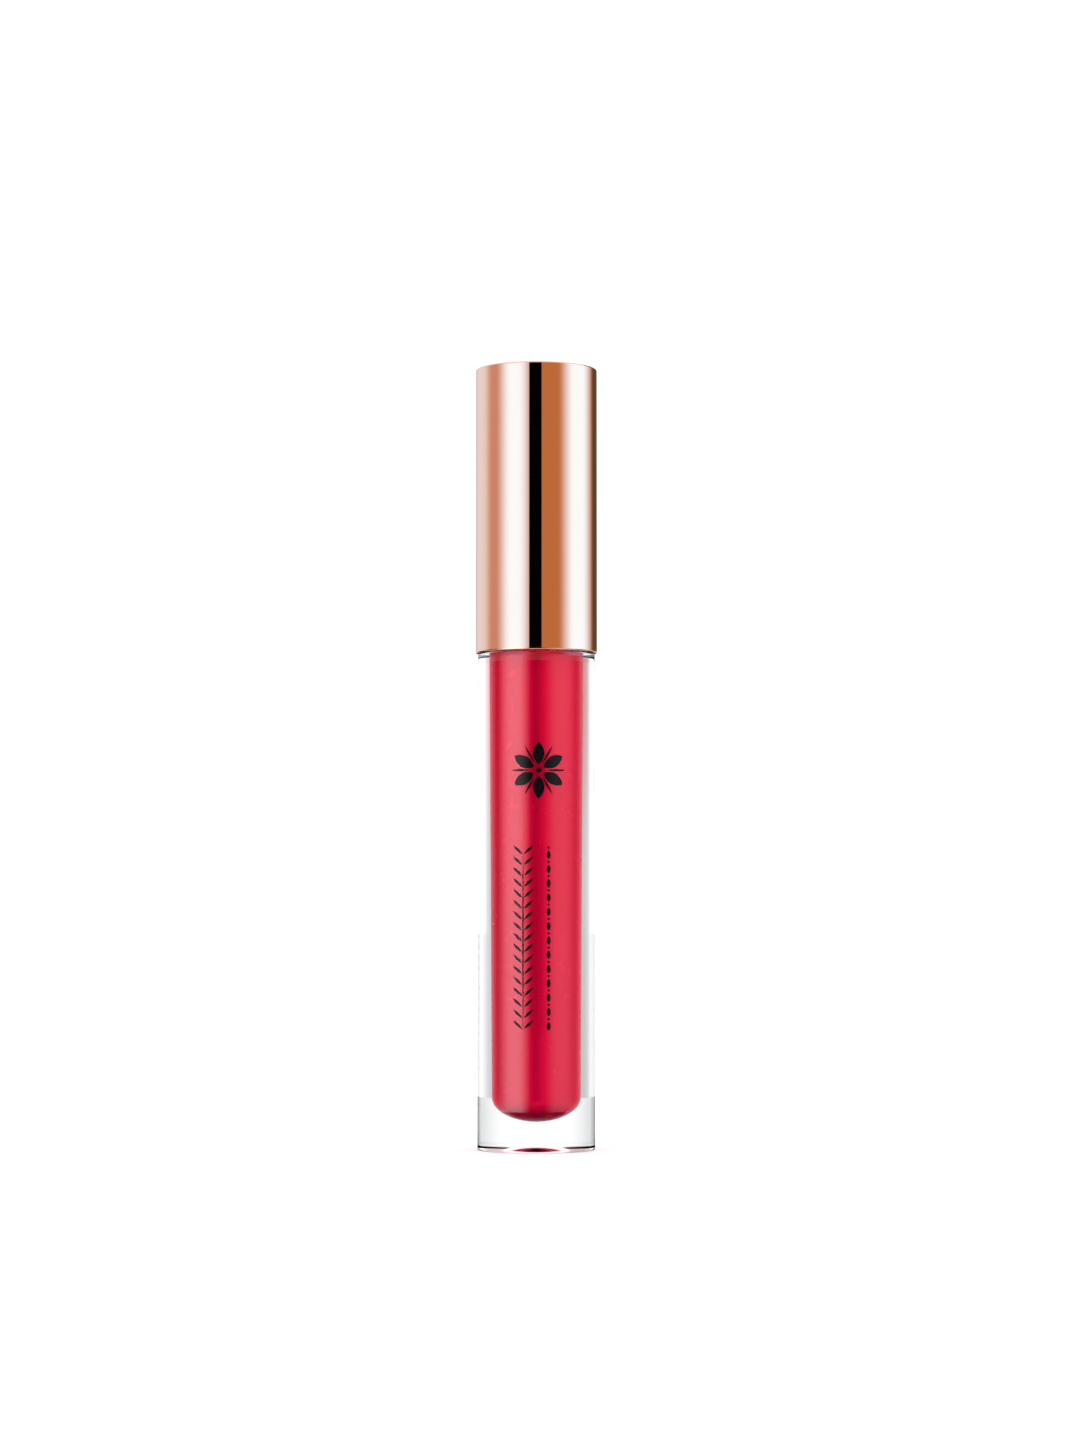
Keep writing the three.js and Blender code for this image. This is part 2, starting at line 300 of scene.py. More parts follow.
neck_top = (neck_radius, bottle_high.z - rim_edge)
dimple_ball = (dimple_radius**2 + dimple_depth**2) / (2 * dimple_depth)
dimple_rim = math.degrees(math.acos(dimple_radius / dimple_ball))
bottle = turned(
    "clear_bottle",
    [
        *arc(0, dimple_depth - dimple_ball, dimple_ball, dimple_ball, 90, dimple_rim, 16),
        *straight((dimple_radius, 0), (bottle_radius - foot, 0), 8),
        *round_edge(bottle_radius - foot, foot, foot, -90, 0, 16),
        *straight((bottle_radius, foot), (bottle_radius, shoulder_z - shoulder), 24),
        *round_edge(bottle_radius - shoulder, shoulder_z - shoulder, shoulder, 0, 90, 8),
        *straight((bottle_radius - shoulder, shoulder_z), (neck_radius + neck_root, shoulder_z), 8),
        *round_edge(neck_radius + neck_root, shoulder_z + neck_root, neck_root, 270, 180, 3),
        *straight((neck_radius, shoulder_z + neck_root), neck_top, 110),
        *round_edge(neck_radius - rim_edge, neck_top[1], rim_edge, 0, 90, 5),
        *round_edge(cavity_radius + rim_edge, neck_top[1], rim_edge, 90, 180, 5),
        (cavity_radius, shoulder_z),
        *straight((cavity_radius, shoulder_z), (cavity_floor_radius, cavity_dome_z), 24),
        *arc(0, cavity_dome_z, cavity_floor_radius, cavity_dome, 0, -90, 32),
    ],
    finish("clear_plastic", clear_plastic),
)
thread_values = {
    "Wall": neck_radius,
    "Depth": thread_depth,
    "Pitch": thread_pitch,
    "Turns": thread_turns,
    "Root": 1.1 * mm,
    "Crest": 0.4 * mm,
    "Lowest": bottle_high.z - thread_below_rim - thread_turns * thread_pitch,
    "Run-out": 0.08,
    "Material": bottle.data.materials[0],
}
run_tree(bottle, thread_tree, thread_values)
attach(bottle, "bottle")
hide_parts("bottle")

# ---- Printed decoration -------------------------------------------------------------------
# Black screen print on the bottle's front: an open flower, and under it a slender laurel beside
# a row of lozenges and dots. The ink is a film that lies in the gloss of the wall.

ink_film = 0.02 * mm
flower_x = 0.35 * mm
flower_z = 57.1 * mm
flower_heart = 0.9 * mm
rows_low_z = 17.8 * mm
rows_high_z = 45.5 * mm
laurel_x = -2.0 * mm
laurel_stem = 0.24 * mm
laurel_spread = 0.85 * mm
laurel_lift = 0.5 * mm
laurel_leaf = (0.42 * mm, 1.9 * mm)
laurel_lean = 48
lozenge_x = 1.85 * mm
lozenge_size = (0.62 * mm, 1.35 * mm)
dot = 0.4 * mm

# Leaves: a flat unit leaf on each point, sized and turned by the point's own values, then
# wrapped round the bottle and given its film's thickness.
leaf_tree, given = geometry_tree("wrapped_leaves", ["Radius", "Film"])
leaf_verts, leaf_faces = [], []
leaf_steps, leaf_across = 14, 4
for i in range(leaf_steps + 1):
    along = i / leaf_steps
    half_width = 0.5 * math.sin(math.pi * along) ** 0.75
    for j in range(leaf_across + 1):
        leaf_verts.append((half_width * (2 * j / leaf_across - 1), 0, along - 0.5))
for i in range(leaf_steps):
    for j in range(leaf_across):
        first = i * (leaf_across + 1) + j
        leaf_faces.append((first, first + 1, first + leaf_across + 2, first + leaf_across + 1))


def black_ink(place):
    screen = place.noise(2500, 3)
    return principled(
        place,
        height=screen,
        bump=0.004 * mm,
        Base_Color=screen.mix((0.003, 0.002, 0.003, 1), (0.006, 0.005, 0.006, 1)),
        Roughness=0.03 + 0.04 * screen,
        IOR=1.25,
    )


ink = finish("black_ink", black_ink)
unit_leaf = piece("unit_leaf", leaf_verts, leaf_faces, ink)
leaf = given["Geometry"].node("GeometryNodeObjectInfo", {}, {"Object": unit_leaf}, "Geometry")
size = leaf.node("GeometryNodeInputNamedAttribute", {"data_type": "FLOAT_VECTOR"}, {"Name": "size"})
spin = leaf.node("GeometryNodeInputNamedAttribute", {"data_type": "FLOAT_VECTOR"}, {"Name": "spin"})
placed = {"Points": given["Geometry"], "Instance": leaf, "Scale": size, "Rotation": spin}
leaves = leaf.node("GeometryNodeInstanceOnPoints", {}, placed)
flat = leaves.node("GeometryNodeRealizeInstances", {}, {"Geometry": leaves})
place = flat.node("GeometryNodeInputPosition")
x = place.node("ShaderNodeSeparateXYZ", {}, {"Vector": place})
angle = x / given["Radius"]
around = {
    "X": given["Radius"] * angle.math("SINE"),
    "Y": given["Radius"] * angle.math("COSINE") * -1,
    "Z": x.also("Z"),
}
wrapped = flat.node(
    "GeometryNodeSetPosition",
    {},
    {"Geometry": flat, "Position": flat.node("ShaderNodeCombineXYZ", {}, around)},
)
lifted = {"Mesh": wrapped, "Offset Scale": given["Film"], "Individual": False}
film = wrapped.node("GeometryNodeExtrudeMesh", {}, lifted)
back = wrapped.node("GeometryNodeFlipFaces", {}, {"Mesh": wrapped})
both = film.node("GeometryNodeJoinGeometry", {}, {"Geometry": [film, back]})
welded = both.node("GeometryNodeMergeByDistance", {}, {"Geometry": both, "Distance": 1e-7})
close_tree(given, welded)

points, sizes, spins = [], [], []


def leaf_at(x, z, width, length, turn=0.0):
    """A leaf centred on (x, z) of the flat print, turned clockwise by `turn` degrees."""
    points.append((x, 0, z))
    sizes.append((width, 1, length))
    spins.append((0, math.radians(turn), 0))


# A petal and the ray beside it: distance from the flower's heart, width and length, in mm.
petal = (2.55, 1.75, 3.4)
ray = (2.7, 0.34, 2.9)
for k in range(6):
    for radius, width, length, turn in ((*petal, 60 * k), (*ray, 60 * k + 30)):
        lean = math.radians(turn)
        x = flower_x + radius * mm * math.sin(lean)
        z = flower_z + radius * mm * math.cos(lean)
        leaf_at(x, z, width * mm, length * mm, turn)
leaf_at(flower_x, flower_z, flower_heart, flower_heart)

row_length = rows_high_z - rows_low_z
laurel_pairs = 17
leaf_at(laurel_x, (rows_low_z + rows_high_z) / 2, laurel_stem, row_length)
for k in range(laurel_pairs):
    base = rows_low_z + row_length * (k + 0.5) / laurel_pairs
    for side in (-1, 1):
        x = laurel_x + side * laurel_spread
        leaf_at(x, base + laurel_lift, *laurel_leaf, side * laurel_lean)
lozenges = 13
for k in range(lozenges):
    middle = rows_low_z + row_length * (k + 0.5) / lozenges
    leaf_at(lozenge_x, middle, *lozenge_size)
    leaf_at(lozenge_x, middle + row_length / lozenges / 2, dot, dot)

print_mesh = bpy.data.meshes.new("printed_decoration")
print_mesh.from_pydata(points, [], [])
for name, values in (("size", sizes), ("spin", spins)):
    stored = print_mesh.attributes.new(name, "FLOAT_VECTOR", "POINT")
    stored.data.foreach_set("vector", [number for value in values for number in value])
decoration = bpy.data.objects.new("printed_decoration", print_mesh)
bpy.context.scene.collection.objects.link(decoration)
print_values = {"Radius": bottle_radius - ink_film / 2, "Film": ink_film, "Material": ink}
run_tree(decoration, leaf_tree, print_values)
bpy.data.objects.remove(unit_leaf)
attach(decoration, "bottle")

# ---- Gloss --------------------------------------------------------------------------------
# Opaque crimson-pink lip gloss, filled up to the wiper. It wets the bore, so its surface lies
# in the wall, and no air shows between the two.

gloss_low, gloss_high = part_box("gloss_fill")
wetting = 0.03 * mm
gloss_top_radius = cavity_radius + wetting
gloss_floor_radius = cavity_floor_radius + wetting
channel_radius = 2.4 * mm
channel_low = gloss_low.z + 3.1 * mm
meniscus_width = 0.5 * mm
meniscus_drop = 0.25 * mm
meniscus_depth = 0.6 * mm
# Painted shade on the dome's bottom: how high it reaches, and the middle where it is darkest.
shade_rise = 2.8 * mm
middle_shade_core = 0.4 * mm
middle_shade_edge = 1.3 * mm


def lip_gloss(place):
    # A little pearl pigment gives the red its own tinted reflection. Painted shade darkens the
    # colour towards the bottom of the dome, darkest in the middle over the gate.
    streaks = place.noise(140, 3, (1, 1, 0.12))
    body = place.noise(420, 2)
    tint = streaks.ease(0.3, 0.75)
    gloss_colour = tint.mix((0.82, 0.0004, 0.044, 1), (0.87, 0.0012, 0.054, 1))
    x = place.node("ShaderNodeSeparateXYZ", {}, {"Vector": place})
    y, z = x.also("Y"), x.also("Z")
    shade_at_middle = 1 - (x * x + y * y).math("SQRT").ease(middle_shade_core, middle_shade_edge)
    underside_darkening = 1 - z.ease(floor_thickness, floor_thickness + shade_rise)
    # Painted shade: the dark colours of the dome's bottom, near black in the middle.
    underside_shade_colour = shade_at_middle.mix((0.30, 0.0003, 0.03, 1), (0.02, 0.0003, 0.002, 1))
    return principled(
        place,
        Base_Color=underside_darkening.mix(gloss_colour, underside_shade_colour),
        Metallic=0.24 + 0.08 * body,
        Roughness=0.22 + 0.08 * body,
        IOR=1.12,
    )


gloss = turned(
    "gloss",
    [
        *arc(0, cavity_dome_z, gloss_floor_radius, cavity_dome + wetting, -90, 0, 32),
        *straight((gloss_floor_radius, cavity_dome_z), (gloss_top_radius, shoulder_z), 24),
        (gloss_top_radius, shoulder_z),
        (gloss_top_radius, gloss_high.z),
        (channel_radius + meniscus_width, gloss_high.z - meniscus_drop),
        (channel_radius, gloss_high.z - meniscus_depth),
        *arc(0, channel_low + channel_radius, channel_radius, channel_radius, 0, -90, 10),
    ],
    finish("lip_gloss", lip_gloss),
    sides=192,
)
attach(gloss, "bottle")
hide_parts("gloss_fill")

# ---- Wiper --------------------------------------------------------------------------------
# A soft polyethylene insert, pushed into the neck until its flange rests on the rim. Its cone
# strips the gloss from the stem as the wand is drawn out.

wiper_low, wiper_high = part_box("wiper")
wiper_wall = 0.7 * mm
wiper_outer = 4.555 * mm
orifice_radius = 2.1 * mm
flange_z = wiper_high.z - 0.6 * mm
cone_z = wiper_low.z + 3.2 * mm
lip_width = 0.5 * mm
lip_edge = 0.2 * mm
flange_edge = 0.2 * mm
flange_under_edge = 0.12 * mm
flange_side = wiper_high.x - flange_under_edge
cone_shift = 0.35 * mm


def wiper_plastic(place):
    haze = place.noise(500, 3)
    height = place.node("ShaderNodeSeparateXYZ", {}, {"Vector": place}, "Z")
    wet = 1 - (height + 0.002 * haze).ease(wiper_high.z - 0.6 * mm, wiper_high.z + 1.2 * mm)
    return principled(
        place,
        height=haze,
        bump=0.02 * mm,
        Base_Color=(0.8 * wet).mix((0.60, 0.595, 0.58, 1), (0.66, 0.02, 0.07, 1)),
        Roughness=0.42 - 0.3 * wet,
        Subsurface_Weight=0.2,
        Subsurface_Radius=(0.001, 0.0008, 0.0008),
    )


wiper = turned(
    "wiper_insert",
    [
        (orifice_radius, wiper_low.z),
        *round_edge(orifice_radius + lip_width, wiper_low.z + lip_edge, lip_edge, -90, -30, 3),
        (wiper_outer, cone_z),
        (wiper_outer, flange_z),
        *round_edge(flange_side, flange_z + flange_under_edge, flange_under_edge, -90, 0, 3),
        *round_edge(wiper_high.x - flange_edge, wiper_high.z - flange_edge, flange_edge, 0, 90, 4),
        *round_edge(wiper_outer, wiper_high.z - wiper_wall, wiper_wall, 90, 180, 6),
        (wiper_outer - wiper_wall, cone_z + cone_shift),
        (orifice_radius, wiper_low.z + wiper_wall),
    ],
    finish("wiper_plastic", wiper_plastic),
    sides=128,
    loop=True,
)
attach(wiper, "bottle")
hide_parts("wiper")

# ---- Sealing washer -----------------------------------------------------------------------
# A ring punched from closed-cell polyethylene foam. It sits against the inner cap's web and is
# squeezed on the wiper's flange when the cap is screwed down.

washer_low, washer_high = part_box("sealing_washer")
washer_edge = 0.12 * mm
washer_side = washer_high.x - washer_edge


def washer_foam(place):
    cells = place.node("ShaderNodeTexVoronoi", {}, {"Vector": place, "Scale": 3800.0})
    stain = place.noise(700, 3).ease(0.5, 0.7)
    return principled(
        place,
        height=cells,
        bump=0.05 * mm,
        Base_Color=(0.35 * stain).mix((0.66, 0.65, 0.64, 1), (0.7, 0.2, 0.24, 1)),
        Roughness=0.75 + 0.15 * cells,
    )


washer = turned(
    "foam_washer",
    [
        (orifice_radius, washer_low.z),
        *round_edge(washer_side, washer_low.z + washer_edge, washer_edge, -90, 0, 3),
        *round_edge(washer_side, washer_high.z - washer_edge, washer_edge, 0, 90, 3),
        (orifice_radius, washer_high.z),
    ],
    finish("washer_foam", washer_foam),
    sides=128,
    loop=True,
)
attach(washer, "washer")
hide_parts("sealing_washer")

# ---- Cap weight ---------------------------------------------------------------------------
# A slug of bright steel bar, faced and chamfered on a lathe and dropped into the shell before
# the inner cap, so that the cap feels heavy in the hand.

weight_low, weight_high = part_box("cap_weight")
chamfer = 0.4 * mm
tool_marks = 42000


def turned_steel(place):
    x = place.node("ShaderNodeSeparateXYZ", {}, {"Vector": place})
    y = x.also("Y")
    rings = ((x * x + y * y).math("SQRT") * tool_marks).math("SINE")
    scale = place.noise(800, 4)
    return principled(
        place,
        height=rings * 0.5 + scale,
        bump=0.01 * mm,
        Base_Color=scale.mix((0.36, 0.36, 0.37, 1), (0.55, 0.55, 0.55, 1)),
        Metallic=1.0,
        Roughness=0.28 + 0.15 * scale,
    )


weight = turned(
    "steel_weight",
    [
        (0, weight_low.z),
        (weight_high.x - chamfer, weight_low.z),
        (weight_high.x, weight_low.z + chamfer),
        (weight_high.x, weight_high.z - chamfer),
        (weight_high.x - chamfer, weight_high.z),
        (0, weight_high.z),
    ],
    finish("turned_steel", turned_steel),
    sides=128,
)
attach(weight, "weight")
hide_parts("cap_weight")

# ---- Cap shell ----------------------------------------------------------------------------
# A straight shell, injection moulded, then vacuum metallised and sealed under a rose-gold
# lacquer that leaves a mirror. It is pressed over the inner cap's ribs.

shell_low, shell_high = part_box("cap_shell")
shell_radius = shell_high.x
shell_bore = 8.3 * mm
roof_z = shell_high.z - 1.2 * mm
roof_fillet = 0.4 * mm
top_edge = 0.25 * mm
mouth_edge = 0.12 * mm


def rose_gold(place):
    lacquer = place.noise(240, 2, (1, 1, 0.35))
    polish = place.noise(1500, 4, (1, 1, 0.5))
    return principled(
        place,
        height=lacquer,
        bump=0.004 * mm,
        Base_Color=lacquer.mix((0.90, 0.44, 0.28, 1), (0.93, 0.46, 0.30, 1)),
        Metallic=1.0,
        Roughness=0.012 + 0.012 * polish,
        Coat_Weight=0.2,
        Coat_Roughness=0.02,
    )


shell = turned(
    "rose_gold_shell",
    [
        (0, roof_z),
        *round_edge(shell_bore - roof_fillet, roof_z - roof_fillet, roof_fillet, 90, 0, 4),
        *straight((shell_bore, roof_z - roof_fillet), (shell_bore, shell_low.z + mouth_edge), 8),
        *round_edge(shell_bore + mouth_edge, shell_low.z + mouth_edge, mouth_edge, 180, 270, 6),
        *round_edge(shell_radius - mouth_edge, shell_low.z + mouth_edge, mouth_edge, 270, 360, 6),
        *straight(
            (shell_radius, shell_low.z + mouth_edge), (shell_radius, shell_high.z - top_edge), 16
        ),
        *round_edge(shell_radius - top_edge, shell_high.z - top_edge, top_edge, 0, 90, 10),
        (0, shell_high.z),
    ],
    finish("rose_gold", rose_gold),
)
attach(shell, "cap")
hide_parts("cap_shell")

# ---- Inner cap ----------------------------------------------------------------------------
# Natural polypropylene. The thread that fits the neck is moulded in its skirt, a web carries
# the boss for the stem's head, and ribs down its outside bite into the shell.

inner_low, inner_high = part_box("inner_cap")
inner_bore = 6.7 * mm
inner_radius = 7.85 * mm
web_low = washer_high.z + 0.1 * mm
web_high = web_low + 1.4 * mm
stem_hole = 1.9 * mm
boss_bore = 3.3 * mm
boss_radius = 4.3 * mm
boss_high = web_high + 5.0 * mm
skirt_edge = 0.2 * mm
rib_count = 12


def natural_plastic(place):
    haze = place.noise(350, 3)
    return principled(
        place,
        height=haze,
        bump=0.015 * mm,
        Base_Color=haze.mix((0.56, 0.56, 0.55, 1), (0.62, 0.62, 0.61, 1)),
        Roughness=0.3 + 0.15 * haze,
        Subsurface_Weight=0.25,
        Subsurface_Radius=(0.001, 0.001, 0.0009),
    )


inner_plastic = finish("natural_plastic", natural_plastic)
inner_cap = turned(
    "inner_cap_body",
    [
        *round_edge(inner_bore + skirt_edge, inner_low.z + skirt_edge, skirt_edge, 180, 270, 4),
        *round_edge(inner_radius - skirt_edge, inner_low.z + skirt_edge, skirt_edge, 270, 360, 4),
        (inner_radius, inner_high.z),
        (inner_bore, inner_high.z),
        (inner_bore, web_high),
        (boss_radius, web_high),
        (boss_radius, boss_high),
        (boss_bore, boss_high),
        (boss_bore, web_high),
        (stem_hole, web_high),
        (stem_hole, web_low),
        (inner_bore, web_low),
        *straight((inner_bore, web_low), (inner_bore, inner_low.z + skirt_edge), 110),
    ],
    inner_plastic,
    sides=192,
    loop=True,
)
nut_values = {
    **thread_values,
    "Wall": inner_bore,
    "Depth": -thread_depth,
    "Lowest": thread_values["Lowest"] - thread_pitch / 2,
    "Material": inner_plastic,
}
run_tree(inner_cap, thread_tree, nut_values)

# Ribs: one rounded bar, copied round the skirt and joined to it.
rib_tree, given = geometry_tree("skirt_ribs", ["Count", "Radius", "Width", "Depth", "Low", "High"])
length = given["High"] - given["Low"]
rib_sides = {"X": given["Depth"], "Y": given["Width"], "Z": length}
rib_size = length.node("ShaderNodeCombineXYZ", {}, rib_sides)
rib = rib_size.node("GeometryNodeMeshCube", {}, {"Size": rib_size})
line = rib.node("GeometryNodeMeshLine", {}, {"Count": given["Count"], "Offset": (0, 0, 0)})
order = rib.node("GeometryNodeInputIndex")
rib_turn = order / given["Count"] * (2 * math.pi)
centre = {
    "X": rib_turn.math("COSINE") * given["Radius"],
    "Y": rib_turn.math("SINE") * given["Radius"],
    "Z": given["Low"] + length / 2,
}
stations = line.node(
    "GeometryNodeSetPosition",
    {},
    {"Geometry": line, "Position": line.node("ShaderNodeCombineXYZ", {}, centre)},
)
facing = line.node("ShaderNodeCombineXYZ", {}, {"Z": rib_turn})
set_round = {"Points": stations, "Instance": rib, "Rotation": facing}
ribs = rib.node("GeometryNodeInstanceOnPoints", {}, set_round)
skirt = ribs.node("GeometryNodeJoinGeometry", {}, {"Geometry": [given["Geometry"], ribs]})
close_tree(given, skirt)
rib_values = {
    "Count": float(rib_count),
    "Radius": 7.9 * mm,
    "Width": 0.9 * mm,
    "Depth": 0.6 * mm,
    "Low": inner_low.z + 1.0 * mm,
    "High": inner_high.z,
    "Material": inner_plastic,
}
run_tree(inner_cap, rib_tree, rib_values)
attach(inner_cap, "cap")
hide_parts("inner_cap")

# ---- Stem ---------------------------------------------------------------------------------
# A smooth rod moulded in natural plastic. Its head sits in the inner cap's boss, and the wiper
# leaves a thin film of gloss on the stretch above the tip.

stem_low, stem_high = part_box("stem")
stem_radius = 1.75 * mm
head_low = stem_high.z - 1.5 * mm
end_edge = 0.2 * mm
peg_hole_radius = 1.05 * mm
peg_hole_top = stem_low.z + 4.65 * mm
film_full = stem_low.z + 14 * mm
film_gone = stem_low.z + 50 * mm


def stem_plastic(place):
    drag = place.noise(900, 3, (1, 1, 0.06))
    height = place.node("ShaderNodeSeparateXYZ", {}, {"Vector": place}, "Z")
    near_tip = 1 - (height + 0.03 * drag).ease(film_full, film_gone)
    film = near_tip * drag.ease(0.28, 0.6)
    return principled(
        place,
        height=film + 0.2 * drag,
        bump=0.03 * mm,
        Base_Color=(0.9 * film).mix((0.52, 0.515, 0.51, 1), (0.62, 0.01, 0.05, 1)),
        Roughness=0.28 - 0.18 * film,
        Coat_Weight=0.6 * film,
    )


stem = turned(
    "wand_stem",
    [
        (0, peg_hole_top),
        (peg_hole_radius, peg_hole_top),
        (peg_hole_radius, stem_low.z),
        *round_edge(stem_radius - end_edge, stem_low.z + end_edge, end_edge, -90, 0, 4),
        *straight((stem_radius, stem_low.z + end_edge), (stem_radius, head_low), 20),
        (stem_radius, head_low),
        (stem_high.x, head_low),
        (stem_high.x, stem_high.z),
        (0, stem_high.z),
    ],
    finish("stem_plastic", stem_plastic),
    sides=96,
)
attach(stem, "cap")
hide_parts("stem")

# ---- Tip ----------------------------------------------------------------------------------
# The doe-foot: a polypropylene core on a peg, dipped in glue and flocked electrostatically with
# short nylon fibres, which stand square to its skin and hold the gloss.

tip_radius = 1.9 * mm
tip_length = 14.0 * mm
flock_reach = 0.42 * mm
skin_radius = tip_radius - flock_reach
foot_length = 9.5 * mm
foot_cut = 2.4 * mm
fibre_lean = 0.4
tip_top = stem_low.z - 0.1 * mm
tip_end = tip_top - tip_length

core_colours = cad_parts["tip_core"].data.materials
core_colours.clear()
core_colours.append(inner_plastic)


def soaked_flock(place):
    tuft = place.noise(2600, 3)
    load = place.noise(500, 2)
    wet = load.ease(0.35, 0.65)
    return principled(
        place,
        Base_Color=(0.5 * wet + 0.5 * tuft).mix((0.72, 0.06, 0.12, 1), (0.52, 0.004, 0.03, 1)),
        Roughness=0.5 - 0.3 * wet,
        Coat_Weight=0.5 * wet,
        Coat_Roughness=0.1,
    )


def foot_face_x(z):
    """How far out the slanted face is at height z, before the flock's reach is taken off."""
    return tip_radius - foot_cut * max(0.0, tip_end + foot_length - z) / foot_length


def foot_skin(sides=64, rows=72):
    """The skin under the flock: a round-ended bar, its front pushed back to the slanted face."""
    verts, faces = [], []
    for i in range(rows + 1):
        share = i / rows
        z = tip_end + flock_reach + (tip_length - flock_reach) * share
        from_end = min(1.0, (z - tip_end - flock_reach) / skin_radius)
        radius = skin_radius * math.sqrt(max(0.0, 1 - (1 - from_end) ** 2))
        for j in range(sides):
            angle = 2 * math.pi * j / sides
            flat_x = foot_face_x(z) - flock_reach
            verts.append((min(radius * math.cos(angle), flat_x), radius * math.sin(angle), z))
    for i in range(rows):
        for j in range(sides):
            k = (j + 1) % sides
            low, high = i * sides, (i + 1) * sides
            faces.append((low + j, low + k, high + k, high + j))
    faces.append(tuple(range(sides))[::-1])
    faces.append(tuple(rows * sides + j for j in range(sides)))
    return verts, faces


flock_material = finish("soaked_flock", soaked_flock)
tip = piece("flocked_tip", *foot_skin(), flock_material, 60)

# Flock: tapered fibres planted on the skin, each leaning a little its own way.
flock_tree, given = geometry_tree("flock", ["Density", "Reach", "Thickness"])
fibre_size = {
    "Vertices": 3,
    "Radius Top": 0.0,
    "Radius Bottom": given["Thickness"],
    "Depth": given["Reach"],
}
fibre = given["Geometry"].node("GeometryNodeMeshCone", {}, fibre_size)
planted = {"Mesh": given["Geometry"], "Density": given["Density"], "Seed": 7}
spots = fibre.node("GeometryNodeDistributePointsOnFaces", {}, planted)
tilt = spots.node(
    "FunctionNodeRandomValue",
    {"data_type": "FLOAT_VECTOR"},
    {"Min": (-fibre_lean, -fibre_lean, 0), "Max": (fibre_lean, fibre_lean, 6.28), "Seed": 11},
)
turned_spot = spots.node(
    "FunctionNodeRotateRotation",
    {"rotation_space": "LOCAL"},
    {"Rotation": spots.also("Rotation"), "Rotate By": tilt},
)
planted = {"Points": spots, "Instance": fibre, "Rotation": turned_spot}
fibres = fibre.node("GeometryNodeInstanceOnPoints", {}, planted)
coat = fibres.node("GeometryNodeJoinGeometry", {}, {"Geometry": [given["Geometry"], fibres]})
close_tree(given, coat)
flock_values = {
    "Density": 6.0e7,
    "Reach": flock_reach,
    "Thickness": 0.022 * mm,
    "Material": flock_material,
}
run_tree(tip, flock_tree, flock_values, 60)
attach(tip, "cap")
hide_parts("tip_flock")

# ---- Studio -------------------------------------------------------------------------------
# A pale table and a white room. Soft boxes stand to the left and right of the tube, and cards
# and a flag between them draw the bands that a mirror-bright cylinder needs.


def table_paint(place):
    grain = place.noise(30, 3)
    return principled(
        place,
        Base_Color=grain.mix((0.93, 0.93, 0.93, 1), (0.95, 0.95, 0.95, 1)),
        Roughness=0.6,
        Emission_Color=(0.08, 0.08, 0.08, 1),
        Emission_Strength=1.0,
    )


table_half = 4.0
table_z = -0.02 * mm
table_signs = ((-1, -1), (1, -1), (1, 1), (-1, 1))
table_verts = [(x * table_half, y * table_half, table_z) for x, y in table_signs]
table = piece("table", table_verts, [(0, 1, 2, 3)], finish("table_paint", table_paint))
table.visible_glossy = False
table.visible_transmission = False

room = bpy.data.worlds.new("white_room")
room.use_nodes = True
room_light = room.node_tree.nodes["Background"]
room_light.inputs["Color"].default_value = (1, 1, 1, 1)
room_light.inputs["Strength"].default_value = 1.1
bpy.context.scene.world = room


tint_low = 45 * mm
tint_high = 100 * mm


def card_light(colour, start, stop, fade_in, fade_out, low_colour=None):
    """A card that glows in a colour and fades out towards its upright edges. Below the tube's
    middle it may turn to a second colour."""

    def surface(place):
        bearing = place.node("ShaderNodeAttribute", {"attribute_name": "bearing"}, {}, "Fac")
        shape = bearing.ease(start, start + fade_in) * (1 - bearing.ease(stop - fade_out, stop))
        height = place.node("ShaderNodeSeparateXYZ", {}, {"Vector": place}, "Z")
        rise = height.ease(tint_low, tint_high)
        tint = rise.mix((*(low_colour or colour), 1), (*colour, 1))
        glow = place.node("ShaderNodeEmission", {}, {"Color": tint, "Strength": 1.0})
        gap = place.node("ShaderNodeBsdfTransparent")
        return place.node("ShaderNodeMixShader", {}, {0: shape, 1: gap, 2: glow})

    return surface


